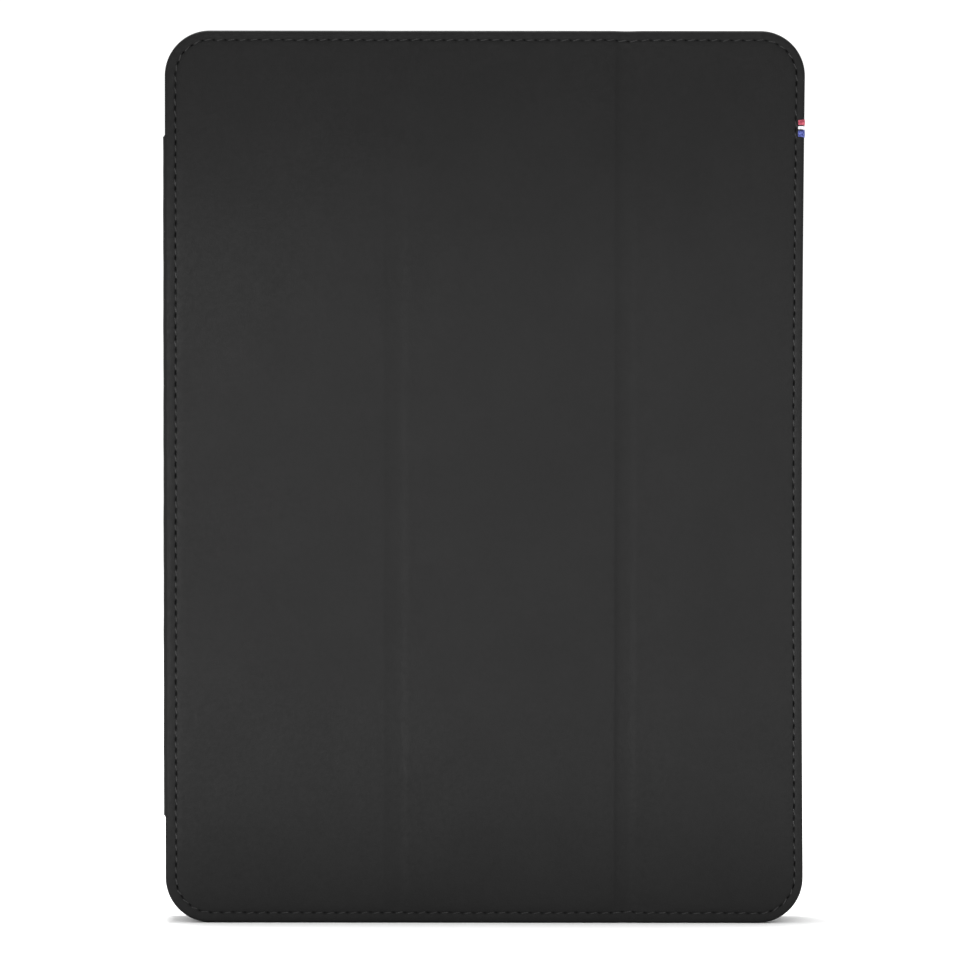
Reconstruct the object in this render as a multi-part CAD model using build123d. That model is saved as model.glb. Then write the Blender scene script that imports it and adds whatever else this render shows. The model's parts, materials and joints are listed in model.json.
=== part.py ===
from build123d import *
import os

# A slim tri-fold folio case for a 10.2 inch class tablet, closed and standing on its short edge.
# Millimetres. +X runs from the spine to the flap's free edge, +Y from the flap to the back,
# and +Z up the long side. The origin is the middle of the case's box, on the surface it stands on.

# The tablet that the case holds
TABLET_WIDTH = 174.1
TABLET_DEPTH = 7.5
TABLET_HEIGHT = 250.6

# The cover: one skin of leather, cut out and folded round the tray
COVER_WIDTH = 183.7
COVER_HEIGHT = 256.5
COVER_CORNER_R = 13.0
CASE_DEPTH = 15.0
LEATHER = 1.0
LEATHER_EDGE_R = 0.8
BOARD_INSET = 3.8
LINING_INSET = 1.6

# The flap's layers, from the leather inwards
FLAP_BOARD = 1.1
FLAP_LINING = 0.5

# The flap's three panels, counted from the spine; the outer panel is what remains
INNER_PANEL_WIDTH = 66.55
MIDDLE_PANEL_WIDTH = 65.9
INNER_CREASE_WIDTH = 7.2
OUTER_CREASE_WIDTH = 6.6
CREASE_DEPTH = 0.35
PANEL_GAP = 0.2

# The spine strip, shorter than the cover and a little proud of its edge
SPINE_PROUD = 0.6
SPINE_BOTTOM = 31.0
SPINE_HEIGHT = 195.3
SPINE_BOARD = 0.8
SPINE_LINING = 0.6
SPINE_BOARD_WIDTH = 7.8
SPINE_LINING_WIDTH = 9.0
FOLD_GAP = 0.2
FOLD_REACH = 4.0
SPINE_END_GAP = 0.3

# The back panel, from the tray outwards
BACK_BOARD = 1.0
ADHESIVE = 0.2

# The seam that runs round the flap and the back
SEAM_INSET = 2.8
THREAD_WIDTH = 0.7
THREAD_DEPTH = 0.6

# The hard tray
TRAY_WIDTH = 178.5
TRAY_HEIGHT = 255.0
TRAY_CORNER_R = 12.2
TRAY_WALL = 2.0
TRAY_FLOOR = 1.1
TRAY_LIP_DEPTH = 0.9
TRAY_LIP_OVERHANG = 1.2
TRAY_EDGE_R = 0.8
TRAY_PAD = 0.4
PAD_INSET = 3.0
ADHESIVE_INSET = 6.0
FLAP_CLEARANCE = 0.2

# Cut-outs in the tray's walls: length along the wall, and middle along it from the tray's centre
SLOT_HEIGHT = 4.8
SLOT_CORNER_R = 1.2
POWER_SLOT = (20.0, 66.0)
AUDIO_SLOT = (9.0, -72.0)
VOLUME_SLOT = (28.0, 90.0)
PORT_SLOT = (14.0, 0.0)
SPEAKER_SLOT_LENGTH = 22.0
SPEAKER_SLOT_OFFSET = 26.0

# The camera opening, in the corner of the back above the free edge
CAMERA_FROM_SIDE = 15.5
CAMERA_FROM_TOP = 15.5
CAMERA_R = 8.0
COLLAR_WALL = 1.2
COLLAR_CLEARANCE = 0.2
COLLAR_SHORT_OF_BACK = 0.2
PAD_CLEARANCE = 1.5

# Magnets in the outer panel, and the steel plates in the back that they hold to as a stand
MAGNET_WIDTH = 3.0
MAGNET_LENGTH = 18.0
MAGNET_FROM_EDGE = 6.5
MAGNET_HEIGHTS = (40.0, 92.0, 164.5, 216.5)
WAKE_MAGNET_WIDTH = 5.0
WAKE_MAGNET_LENGTH = 10.0
WAKE_MAGNET_FROM_EDGE = 14.0
WAKE_MAGNET_HEIGHT = 190.0
PLATE_WIDTH = 10.0
PLATE_LENGTH = 26.0
PLATE_THICKNESS = 0.5
PLATE_X = -76.0

# The woven tag folded over the free edge
TAG_HEIGHT = 5.3
TAG_FROM_TOP = 27.9
TAG_ON_FACE = 2.3
TAG_THICKNESS = 0.3
TAG_PROUD = 0.2

# Levels across the case's depth
FRONT = -CASE_DEPTH / 2
FLAP_BOARD_FRONT = FRONT + LEATHER
FLAP_LINING_FRONT = FLAP_BOARD_FRONT + FLAP_BOARD
FLAP_BACK = FLAP_LINING_FRONT + FLAP_LINING
TRAY_FRONT = FLAP_BACK + FLAP_CLEARANCE
CAVITY_FRONT = TRAY_FRONT + TRAY_LIP_DEPTH
BACK = CASE_DEPTH / 2
BACK_LEATHER_FRONT = BACK - LEATHER
BACK_FRONT = BACK_LEATHER_FRONT - BACK_BOARD
TRAY_BACK = BACK_FRONT - ADHESIVE
TRAY_FLOOR_FRONT = TRAY_BACK - TRAY_FLOOR
PAD_FRONT = TRAY_FLOOR_FRONT - TRAY_PAD
TABLET_MIDDLE = (CAVITY_FRONT + PAD_FRONT) / 2

# Places across its width and height
COVER_X = (SPINE_PROUD - TAG_PROUD) / 2
LEFT = COVER_X - COVER_WIDTH / 2
RIGHT = COVER_X + COVER_WIDTH / 2
SPINE_OUTSIDE = LEFT - SPINE_PROUD
SPINE_INSIDE = SPINE_OUTSIDE + LEATHER + SPINE_BOARD + SPINE_LINING
SPINE_TOP = SPINE_BOTTOM + SPINE_HEIGHT
INNER_CREASE_X = LEFT + INNER_PANEL_WIDTH
OUTER_CREASE_X = INNER_CREASE_X + MIDDLE_PANEL_WIDTH
MIDDLE_Z = COVER_HEIGHT / 2
TAG_Z = COVER_HEIGHT - TAG_FROM_TOP
CAMERA_X = RIGHT - CAMERA_FROM_SIDE
CAMERA_Z = COVER_HEIGHT - CAMERA_FROM_TOP

# Pairs of numbers well clear of the case on both sides, for cutting right through it
THROUGH_X = (LEFT - 10, RIGHT + 10)
THROUGH_Y = (FRONT - 5, BACK + 5)
THROUGH_Z = (-5, COVER_HEIGHT + 5)


def block(x, y, z):
    """A box between a pair of x values, a pair of y values and a pair of z values."""
    size = Box(x[1] - x[0], y[1] - y[0], z[1] - z[0])
    return Pos(sum(x) / 2, sum(y) / 2, sum(z) / 2) * size


def about(middle, length):
    """The pair of numbers that a length takes up about its middle."""
    return (middle - length / 2, middle + length / 2)


def plate(width, height, corner_r, y):
    """A rounded rectangle standing upright on the cover's centre, between a pair of y values."""
    face = Plane(origin=(COVER_X, y[0], MIDDLE_Z), x_dir=(1, 0, 0), z_dir=(0, 1, 0))
    return extrude(face * RectangleRounded(width, height, corner_r), amount=y[1] - y[0])


def cover_plate(inset, y):
    """The cover's outline drawn in by inset, between a pair of y values."""
    width = COVER_WIDTH - 2 * inset
    height = COVER_HEIGHT - 2 * inset
    return plate(width, height, COVER_CORNER_R - inset, y)


def tray_plate(inset, y):
    """The tray's outline drawn in by inset, between a pair of y values."""
    width = TRAY_WIDTH - 2 * inset
    height = TRAY_HEIGHT - 2 * inset
    return plate(width, height, TRAY_CORNER_R - inset, y)


def face_edges(solid, at):
    """The edges round the frontmost face (at=0) or the backmost face (at=-1)."""
    return solid.faces().sort_by(Axis.Y)[at].edges()


def rounded_cover(inset, y):
    """The cover's outline with the turned leather edge rounded on both faces."""
    solid = cover_plate(inset, y)
    return fillet(face_edges(solid, 0) + face_edges(solid, -1), LEATHER_EDGE_R)


def rod(radius, y, x, z):
    """A round rod along Y between a pair of y values."""
    place = Plane(origin=(x, y[0], z), x_dir=(1, 0, 0), z_dir=(0, 1, 0))
    return extrude(place * Circle(radius), amount=y[1] - y[0])


def spine_zone(gap, z):
    """The space of the spine: a prism whose ends are mitred at 45 degrees from the two folds."""
    outside = SPINE_OUTSIDE - FOLD_REACH
    inside = SPINE_OUTSIDE + FOLD_REACH
    front = FRONT + gap
    back = BACK - gap
    points = [
        (outside, front - FOLD_REACH),
        (inside, front + FOLD_REACH),
        (inside, back - FOLD_REACH),
        (outside, back + FOLD_REACH),
    ]
    section = Plane.XY.offset(z[0]) * make_face(Polyline(points, close=True))
    return extrude(section, amount=z[1] - z[0])


def seam_ring(y):
    """The closed ring that the thread of a seam takes up, between a pair of y values."""
    outer = cover_plate(SEAM_INSET - THREAD_WIDTH / 2, y)
    return outer - cover_plate(SEAM_INSET + THREAD_WIDTH / 2, y)


def crease_groove(x, width):
    """A shallow round-bottomed groove across the flap's front, to be cut from its leather."""
    radius = (width**2 / 4 + CREASE_DEPTH**2) / (2 * CREASE_DEPTH)
    rod_z = Cylinder(radius, THROUGH_Z[1] - THROUGH_Z[0])
    return Pos(x, FRONT + CREASE_DEPTH - radius, MIDDLE_Z) * rod_z


def magnet_blocks(width, length, from_edge, heights):
    """Flat magnets that fill pockets through the outer panel's board."""
    depth = (FLAP_BOARD_FRONT, FLAP_LINING_FRONT)
    x = about(RIGHT - from_edge, width)
    return [block(x, depth, about(z, length)) for z in heights]


def edge_tag():
    """The tag folded over the free edge, its legs flush with the leather's two faces."""
    outside = rounded_cover(-TAG_PROUD, (FRONT, FLAP_BACK))
    inside = cover_plate(
        TAG_THICKNESS - TAG_PROUD, (FRONT + TAG_THICKNESS, FLAP_BACK - TAG_THICKNESS)
    )
    here = block((RIGHT - TAG_ON_FACE, RIGHT + 5), THROUGH_Y, about(TAG_Z, TAG_HEIGHT))
    return (outside - inside) & here


def wall_slot(axis, slot, wall):
    """A rounded slot through a tray wall: along X in the top or bottom wall, along Z in a side."""
    length, offset = slot
    reach = 3 * TRAY_WALL
    if axis == "x":
        z = MIDDLE_Z + wall * (TRAY_HEIGHT - TRAY_WALL) / 2
        face = Plane(origin=(COVER_X + offset, TABLET_MIDDLE, z), x_dir=(1, 0, 0), z_dir=(0, 0, 1))
    else:
        x = COVER_X + wall * (TRAY_WIDTH - TRAY_WALL) / 2
        face = Plane(origin=(x, TABLET_MIDDLE, MIDDLE_Z + offset), x_dir=(0, 0, 1), z_dir=(1, 0, 0))
    outline = RectangleRounded(length, SLOT_HEIGHT, SLOT_CORNER_R)
    return extrude(face * outline, amount=reach / 2, both=True)


def tray():
    """The moulded tray: floor, walls with their cut-outs, snap-in lip and camera collar."""
    shell = tray_plate(0, (TRAY_FRONT, TRAY_BACK))
    shell = fillet(face_edges(shell, 0) + face_edges(shell, -1), TRAY_EDGE_R)
    shell -= tray_plate(TRAY_WALL, (CAVITY_FRONT, TRAY_FLOOR_FRONT))
    shell -= tray_plate(TRAY_WALL + TRAY_LIP_OVERHANG, (TRAY_FRONT - 1, CAVITY_FRONT))
    collar_end = BACK - COLLAR_SHORT_OF_BACK
    shell += rod(CAMERA_R + COLLAR_WALL, (TRAY_FLOOR_FRONT, collar_end), CAMERA_X, CAMERA_Z)
    shell -= rod(CAMERA_R, THROUGH_Y, CAMERA_X, CAMERA_Z) & block(
        THROUGH_X, (TABLET_MIDDLE, THROUGH_Y[1]), THROUGH_Z
    )
    shell -= wall_slot("x", POWER_SLOT, 1)
    shell -= wall_slot("x", AUDIO_SLOT, 1)
    shell -= wall_slot("z", VOLUME_SLOT, 1)
    shell -= wall_slot("x", PORT_SLOT, -1)
    for side in (-1, 1):
        shell -= wall_slot("x", (SPEAKER_SLOT_LENGTH, side * SPEAKER_SLOT_OFFSET), -1)
    return shell


def back_panel():
    """Everything behind the tray: adhesive, board, steel plates, leather and its seam."""
    collar_hole = rod(CAMERA_R + COLLAR_WALL + COLLAR_CLEARANCE, THROUGH_Y, CAMERA_X, CAMERA_Z)
    adhesive = tray_plate(ADHESIVE_INSET, (TRAY_BACK, BACK_FRONT)) - collar_hole
    plate_y = (BACK_LEATHER_FRONT - PLATE_THICKNESS, BACK_LEATHER_FRONT)
    plates = [
        block(about(PLATE_X, PLATE_WIDTH), plate_y, about(z, PLATE_LENGTH))
        for z in MAGNET_HEIGHTS
    ]
    whole_board = cover_plate(BOARD_INSET, (BACK_FRONT, BACK_LEATHER_FRONT)) - collar_hole
    thread = seam_ring((BACK - THREAD_DEPTH, BACK))
    fold = spine_zone(0, spine_span(SPINE_END_GAP))
    envelope = rounded_cover(0, (BACK_FRONT, BACK)) + spine_tab((BACK_FRONT, BACK))
    return {
        "tray_adhesive": adhesive,
        "back_board": whole_board - plates,
        "stand_plates": Compound(children=plates),
        "back_leather": envelope - fold - whole_board - thread - collar_hole,
        "back_stitching": thread,
    }


def spine_span(gap):
    """The pair of heights between the spine strip's ends, widened by gap at each end."""
    return (SPINE_BOTTOM - gap, SPINE_TOP + gap)


def spine_tab(y):
    """The leather that carries the flap or the back out to the spine's outside face."""
    return block((SPINE_OUTSIDE, LEFT + FOLD_REACH / 2), y, spine_span(0))


def spine():
    """The spine strip: leather, its stiffening board and its lining."""
    board_x = (SPINE_OUTSIDE + LEATHER, SPINE_OUTSIDE + LEATHER + SPINE_BOARD)
    lining_x = (board_x[1], SPINE_INSIDE)
    board = block(board_x, about(0, SPINE_BOARD_WIDTH), spine_span(-BOARD_INSET))
    lining = block(lining_x, about(0, SPINE_LINING_WIDTH), spine_span(-LINING_INSET))
    envelope = block((SPINE_OUTSIDE, SPINE_INSIDE), THROUGH_Y, spine_span(0))
    envelope &= spine_zone(FOLD_GAP, spine_span(1))
    return {
        "spine_leather": envelope - board - lining,
        "spine_board": board,
        "spine_lining": lining,
    }


def flap():
    """The three panels of the flap, each a body of its own, cut from the whole flap's layers."""
    fold = spine_zone(0, spine_span(SPINE_END_GAP))
    magnets = magnet_blocks(MAGNET_WIDTH, MAGNET_LENGTH, MAGNET_FROM_EDGE, MAGNET_HEIGHTS)
    wake_magnet = magnet_blocks(
        WAKE_MAGNET_WIDTH, WAKE_MAGNET_LENGTH, WAKE_MAGNET_FROM_EDGE, [WAKE_MAGNET_HEIGHT]
    )
    tag = edge_tag()
    thread = seam_ring((FRONT, FRONT + THREAD_DEPTH))
    whole_board = cover_plate(BOARD_INSET, (FLAP_BOARD_FRONT, FLAP_LINING_FRONT))
    whole_lining = cover_plate(LINING_INSET, (FLAP_LINING_FRONT, FLAP_BACK)) - fold - tag
    envelope = rounded_cover(0, (FRONT, FLAP_BACK)) + spine_tab((FRONT, FLAP_BACK)) - fold
    envelope -= crease_groove(INNER_CREASE_X, INNER_CREASE_WIDTH)
    envelope -= crease_groove(OUTER_CREASE_X, OUTER_CREASE_WIDTH)
    panels = {
        "inner_panel": (THROUGH_X[0], INNER_CREASE_X, 0, INNER_CREASE_WIDTH),
        "middle_panel": (INNER_CREASE_X, OUTER_CREASE_X, INNER_CREASE_WIDTH, OUTER_CREASE_WIDTH),
        "outer_panel": (OUTER_CREASE_X, THROUGH_X[1], OUTER_CREASE_WIDTH, 0),
    }
    nodes = {}
    for name, (start, end, start_crease, end_crease) in panels.items():
        whole = block((start + PANEL_GAP / 2, end - PANEL_GAP / 2), THROUGH_Y, THROUGH_Z)
        stiff = block((start + start_crease / 2, end - end_crease / 2), THROUGH_Y, THROUGH_Z)
        board = whole_board & stiff
        leather = (envelope & whole) - board - whole_lining - thread
        if name == "outer_panel":
            leather -= tag
            board = board - magnets - wake_magnet
        nodes[name + "_leather"] = leather
        nodes[name + "_board"] = board
        nodes[name + "_lining"] = whole_lining & whole
        nodes[name + "_stitching"] = thread & whole
    nodes["closure_magnets"] = Compound(children=magnets)
    nodes["wake_magnet"] = wake_magnet[0]
    nodes["edge_tag"] = tag
    return nodes


def tray_pad():
    """The soft sheet on the tray's floor that the tablet lies against."""
    pad_hole = rod(CAMERA_R + PAD_CLEARANCE, THROUGH_Y, CAMERA_X, CAMERA_Z)
    return tray_plate(PAD_INSET, (PAD_FRONT, TRAY_FLOOR_FRONT)) - pad_hole


nodes = {"tray": tray(), "tray_pad": tray_pad()}
nodes.update(back_panel())
nodes.update(spine())
nodes.update(flap())

os.makedirs("parts", exist_ok=True)
for name, solid in nodes.items():
    export_step(solid, f"parts/{name}.step")

print(f"{len(nodes)} nodes")
print(f"tablet cavity depth {PAD_FRONT - CAVITY_FRONT:.2f}, its middle at y {TABLET_MIDDLE:.3f}")
print(f"folds at x {SPINE_OUTSIDE:.3f}, y {FRONT:.3f} and {BACK:.3f}")
print(f"creases at x {INNER_CREASE_X:.3f} and {OUTER_CREASE_X:.3f}, y {FRONT:.3f}")
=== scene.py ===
import json
import math
import random
from dataclasses import dataclass

import bmesh
import bpy
import numpy as np
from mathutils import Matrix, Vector
from mathutils.geometry import delaunay_2d_cdt


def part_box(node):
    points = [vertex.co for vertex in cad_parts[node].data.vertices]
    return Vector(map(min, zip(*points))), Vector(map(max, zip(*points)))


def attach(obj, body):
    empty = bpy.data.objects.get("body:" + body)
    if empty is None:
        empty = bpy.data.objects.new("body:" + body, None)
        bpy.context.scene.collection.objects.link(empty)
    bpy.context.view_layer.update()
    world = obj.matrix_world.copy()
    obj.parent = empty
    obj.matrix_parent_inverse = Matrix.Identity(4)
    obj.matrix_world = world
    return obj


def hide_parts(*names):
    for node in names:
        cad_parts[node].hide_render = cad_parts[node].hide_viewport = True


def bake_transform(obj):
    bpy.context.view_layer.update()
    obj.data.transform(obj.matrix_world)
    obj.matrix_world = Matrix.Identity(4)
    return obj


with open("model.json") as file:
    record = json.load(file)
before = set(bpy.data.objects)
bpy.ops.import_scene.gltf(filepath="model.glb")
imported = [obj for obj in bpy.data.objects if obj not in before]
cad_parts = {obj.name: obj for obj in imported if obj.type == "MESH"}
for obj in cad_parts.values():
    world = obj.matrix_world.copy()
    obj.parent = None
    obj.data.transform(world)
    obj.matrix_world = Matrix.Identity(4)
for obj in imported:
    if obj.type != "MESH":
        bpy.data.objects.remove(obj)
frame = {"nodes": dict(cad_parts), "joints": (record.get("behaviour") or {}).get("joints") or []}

# A black leather folio for a tablet, closed and standing on its short edge. The cover is one
# skin of leather turned over boards: a back panel, a spine and a flap with two creases. Shapes
# are worked out in millimetres and written to Blender in metres.
#
# Two words are used throughout. "Inset" is how far a point lies in from the cover's outline,
# and "depth" is how far it lies in from the outer face of the flap or of the back.

MM = 0.001
scene = bpy.context.scene
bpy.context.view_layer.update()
NODES = frame["nodes"]
JOINTS = {joint["name"]: joint for joint in frame["joints"]}


def box_mm(node):
    """A CAD node's lowest and highest corners, in millimetres."""
    low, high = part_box(node)
    return np.array(low) / MM, np.array(high) / MM


def joint_mm(name):
    """A joint's place, in millimetres."""
    return np.array(JOINTS[name]["pos_m"]) / MM


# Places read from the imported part
(_, BACK_INSIDE, BOTTOM), (RIGHT, BACK, TOP) = box_mm("back_leather")
(_, FRONT, _), (_, FLAP_INSIDE, _) = box_mm("inner_panel_leather")
BOARD_LOW, BOARD_HIGH = box_mm("inner_panel_board")
BOARD_INSET = BOARD_LOW[2] - BOTTOM
LEFT = BOARD_LOW[0] - BOARD_INSET
LEATHER = BOARD_LOW[1] - FRONT
(_, LINING_Y, LINING_Z), _ = box_mm("inner_panel_lining")
LINING_INSET = LINING_Z - BOTTOM
LINING_DEPTH = LINING_Y - FRONT
SEAM_LOW, SEAM_HIGH = box_mm("outer_panel_stitching")
CAD_THREAD_HALF = 0.35
SEAM_INSET = (SEAM_LOW[2] + RIGHT - SEAM_HIGH[0] - BOTTOM) / 2 + CAD_THREAD_HALF
(SPINE_OUTSIDE, _, SPINE_BOTTOM), (_, _, SPINE_TOP) = box_mm("spine_leather")
SPINE_BOARD_END = box_mm("spine_board")[0][1] - FRONT
SPINE_MIDDLE = -FRONT
SPINE_PROUD = LEFT - SPINE_OUTSIDE
MIDDLE_Z = (BOTTOM + TOP) / 2
INNER_CREASE_X = joint_mm("inner_crease")[0]
OUTER_CREASE_X = joint_mm("outer_crease")[0]
INNER_CREASE_HALF = INNER_CREASE_X - BOARD_HIGH[0]
OUTER_CREASE_HALF = OUTER_CREASE_X - box_mm("middle_panel_board")[1][0]
MIDDLE_PANEL_CUT = (INNER_CREASE_X + OUTER_CREASE_X) / 2

# The cover's outline and its seam
COVER_CORNER_R = 13.0
STITCH_PITCH = 3.3
SAMPLES_PER_STITCH = 6
SEAM_SHIFT = (0.30, 0.10)

# The free edge is bowed in a little, and the creases draw in the edge and the seam they meet
BOW_DEPTH = 0.62
BOW_Z = 136.0
BOW_HALF = 120.0
CREASE_PINCH = 0.10
SEAM_PINCH = 0.40
INNER_CREASE_PULL = 0.2

# The relief of the leather: the seam's valley with the shoulder and the hem beside it, the
# needle's holes (their half length where the seam runs level and upright), and the face
EDGE_R = 0.8
TURN_R = 0.4
FACE_RING = 8.0
SEAM_VALLEY = 0.18
SHOULDER_REACH = 0.8
HEM_SINK = 0.03
HEM_CROWN_INSET = 1.2
HEM_FALL = 0.12
SPINE_CROWN_INSET = 1.6
SPINE_FALL = 0.3
NEEDLE_HOLE_LENGTHS = (0.30, 0.64)
NEEDLE_HOLE_WIDTH = 0.18
NEEDLE_HOLE_DEPTH = 0.52
FACE_DEPTH = 0.03
FACE_WAVE = 0.007

# A crease's section, in half widths of the crease from its middle: where its floor is reached,
# where its low wall starts and ends, and where its long slope does. Then how much of its depth
# it has at the top and at the bottom, how much of it is left at the seam, and how far in from
# the seam it is whole again.
CREASE_FLOOR = 0.35
CREASE_WALL = (0.3, 1.05)
CREASE_SLOPE = (0.5, 6.0)
CREASE_DEPTH_SHARES = (0.6, 1.35)
CREASE_TOP_AND_BOTTOM = (TOP - 26.0, TOP - 206.0)
CREASE_AT_SEAM = 0.25
CREASE_FADE = 2.0

# The spine's fold: where its leather is cut, the rounding of its edge, and its mitre.
# The leather is cut along a fold FOLD_CUT in from the spine's outside, and mitred inside it.
FOLD_CUT = 1.9
SPINE_EDGE_R = 1.57
MITRE = 1.12

# The camera opening in the back: its middle and its radius in the leather and in the pad
CAMERA_X = RIGHT - 15.5
CAMERA_Z = TOP - 15.5
CAMERA_HOLE_R = 9.4
CAMERA_PAD_R = 9.5


@dataclass
class Side:
    """One outer face of the case: where it is, which way is in, how thick its cover is, and how
    deep its board's pocket ends."""
    face: float
    inward: int
    thickness: float
    pocket_end: float

    def y(self, depth):
        return self.face + self.inward * depth


@dataclass
class Crease:
    """The hollow of one of the flap's creases: its middle line and half its width, how deep it
    is, how sharply it drops, and how much of it comes up again within its width."""
    x: float
    half: float
    depth: float
    sharpness: float
    wall_share: float


CREASES = (Crease(INNER_CREASE_X, INNER_CREASE_HALF, 0.15, 2.0, 0.6),
           Crease(OUTER_CREASE_X, OUTER_CREASE_HALF, 0.38, 3.5, 0.25))
FLAP = Side(FRONT, 1, FLAP_INSIDE - FRONT, LINING_DEPTH)
REAR = Side(BACK, -1, BACK - BACK_INSIDE, BACK - BACK_INSIDE)


def smoothstep(value):
    t = np.clip(value, 0.0, 1.0)
    return t * t * (3 - 2 * t)


def fade_out(value, start, end):
    """1 up to start, falling smoothly to 0 at end."""
    return smoothstep((end - value) / (end - start))


class Outline:
    """A rounded rectangle, walked anticlockwise in even steps from its lower left corner.

    base holds the corner centre or inner edge point that each step is measured from, out its
    outward direction, and along how far it lies along the walk."""

    def __init__(self, low, high, corner_r, steps, even_at=0.0):
        self.corner_r = corner_r
        self.low = np.array(low, float)
        self.high = np.array(high, float)
        inner = [self.low + corner_r, self.high - corner_r]
        centres = [inner[0], (inner[1][0], inner[0][1]), inner[1], (inner[0][0], inner[1][1])]
        turn = math.pi / 2 * (corner_r - even_at)
        stretches = []
        for k in range(4):
            start = np.array(centres[k], float)
            end = np.array(centres[(k + 1) % 4], float)
            facing = -math.pi / 2 + k * math.pi / 2
            stretches.append((np.linalg.norm(end - start), start, end, facing, facing))
            stretches.append((turn, end, end, facing, facing + math.pi / 2))
        self.length = sum(stretch[0] for stretch in stretches)
        self.along = np.arange(steps) * self.length / steps
        self.base = np.zeros((steps, 2))
        self.out = np.zeros((steps, 2))
        for i, distance in enumerate(self.along):
            for length, start, end, angle, end_angle in stretches:
                if distance < length:
                    break
                distance -= length
            share = distance / length
            self.base[i] = start + (end - start) * share
            turned = angle + (end_angle - angle) * share
            self.out[i] = (math.cos(turned), math.sin(turned))

    def at(self, inset):
        """The outline's points at an inset, or at one inset per point."""
        reach = self.corner_r - np.broadcast_to(inset, (len(self.base),))
        return self.base + self.out * reach[:, None]


def cover_outline(step_scale=1):
    """The cover's outline with a whole number of stitches round it."""
    seam_length = (2 * (RIGHT - LEFT + TOP - BOTTOM - 4 * COVER_CORNER_R)
                   + 2 * math.pi * (COVER_CORNER_R - SEAM_INSET))
    stitches = round(seam_length / STITCH_PITCH)
    steps = stitches * SAMPLES_PER_STITCH // step_scale
    return Outline((LEFT, BOTTOM), (RIGHT, TOP), COVER_CORNER_R, steps, SEAM_INSET), stitches


def beside_spine(outline, short=-0.05):
    """True for the steps that lie along the spine strip, that much short of its ends."""
    z = outline.base[:, 1]
    faces_left = outline.out[:, 0] < -0.999
    return faces_left & (z > SPINE_BOTTOM + short) & (z < SPINE_TOP - short)


# --- The relief of the leather's face ---

def unevenness(x, z):
    """Slow hand-made waviness of the face."""
    wave = np.sin(0.071 * x + 0.043 * z + 0.6) + np.sin(0.113 * x - 0.067 * z + 2.1)
    return FACE_DEPTH + FACE_WAVE * (wave + 0.6 * np.sin(0.19 * x + 0.23 * z + 4.0))


def seam_wander(along):
    """How far the seam strays from its line."""
    return 0.05 * np.sin(along * 0.31) + 0.04 * np.sin(along * 0.83 + 1.3)


def crease_relief(x, z, inset):
    """Depth of the creases: each drops at once on the spine's side, flattens out, and comes up
    again partly in a low wall and partly in a long slope. Both are deeper low down."""
    depth = 0
    for crease in CREASES:
        u = (x - crease.x) / crease.half
        left = np.clip((CREASE_FLOOR - u) / (CREASE_FLOOR + 1), 0.0, 1.0)
        fall = 1 - left ** crease.sharpness
        wall = crease.wall_share * fade_out(u, *CREASE_WALL)
        slope = (1 - crease.wall_share) * fade_out(u, *CREASE_SLOPE)
        depth = depth + crease.depth * fall * (wall + slope)
    at_top, at_bottom = CREASE_DEPTH_SHARES
    top, bottom = CREASE_TOP_AND_BOTTOM
    share = at_top + (at_bottom - at_top) * smoothstep((top - z) / (top - bottom))
    full = smoothstep((inset - SEAM_INSET) / CREASE_FADE)
    fade = CREASE_AT_SEAM + (1 - CREASE_AT_SEAM) * full
    return depth * share * fade


def near_creases(x):
    """How hard the creases draw the edge in at x: the outer one by 1, the inner one by less."""
    inner, outer = (fade_out(np.abs(x - crease.x), 0, crease.half * 1.5) for crease in CREASES)
    return INNER_CREASE_PULL * inner + outer


def edge_relief(inset, spine):
    """Depth of the face near its edge: a shoulder, the seam's valley and the turned hem."""
    shoulder = SEAM_VALLEY * np.exp(-np.maximum(inset - SEAM_INSET, 0) / SHOULDER_REACH)
    crown = np.where(spine, SPINE_CROWN_INSET, HEM_CROWN_INSET)
    sink = np.where(spine, 0.0, HEM_SINK)
    t = (SEAM_INSET - inset) / (SEAM_INSET - crown)
    hem = sink + (SEAM_VALLEY - sink) * np.abs(1 - t) ** 2
    hem = np.where(t > 1, sink + np.where(spine, SPINE_FALL, HEM_FALL) * (t - 1) ** 2, hem)
    return np.where(inset > SEAM_INSET, shoulder, hem)


def needle_holes(inset, along, upright):
    """Depth of the holes that the thread goes through, midway between stitches.

    Where the seam runs upright they are drawn out into slots."""
    phase = (along / STITCH_STEP + 0.5) % 1.0 - 0.5
    level, drawn = NEEDLE_HOLE_LENGTHS
    half_length = level + (drawn - level) * upright
    across = inset - SEAM_INSET - seam_wander(along)
    reach = (phase * STITCH_STEP / half_length) ** 2 + (across / NEEDLE_HOLE_WIDTH) ** 2
    return NEEDLE_HOLE_DEPTH * np.exp(-reach**1.5)


def face_depth(side, x, z, inset, along, spine, upright=1.0):
    """Depth of the leather's outer surface below the side's face."""
    depth = edge_relief(inset, spine) + needle_holes(inset, along, upright) + unevenness(x, z)
    if side is FLAP:
        depth = depth + crease_relief(x, z, inset)
    return depth


def free_edge_bow(z):
    """How far in the free edge is bowed at a height."""
    return BOW_DEPTH * np.maximum(1 - ((z - BOW_Z) / BOW_HALF) ** 2, 0)


def pinched(side, inset, rim, out, on_face=True):
    """The inset at which a point of the flap lies, drawn in where a crease crosses the edge and
    along the middle of the free edge. rim is the outline's point beside it."""
    if side is REAR:
        return inset
    draw = CREASE_PINCH + (SEAM_PINCH - CREASE_PINCH) * smoothstep(inset / SEAM_INSET)
    draw = draw * fade_out(inset, SEAM_INSET, FACE_RING)
    near, far = (SEAM_INSET, FACE_RING) if on_face else (EDGE_R, BOARD_INSET)
    bow = free_edge_bow(rim[:, 1]) * np.maximum(out[:, 0], 0) ** 2
    return (inset + draw * near_creases(rim[:, 0]) * np.abs(out[:, 1])
            + bow * fade_out(inset, near, far))


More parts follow.
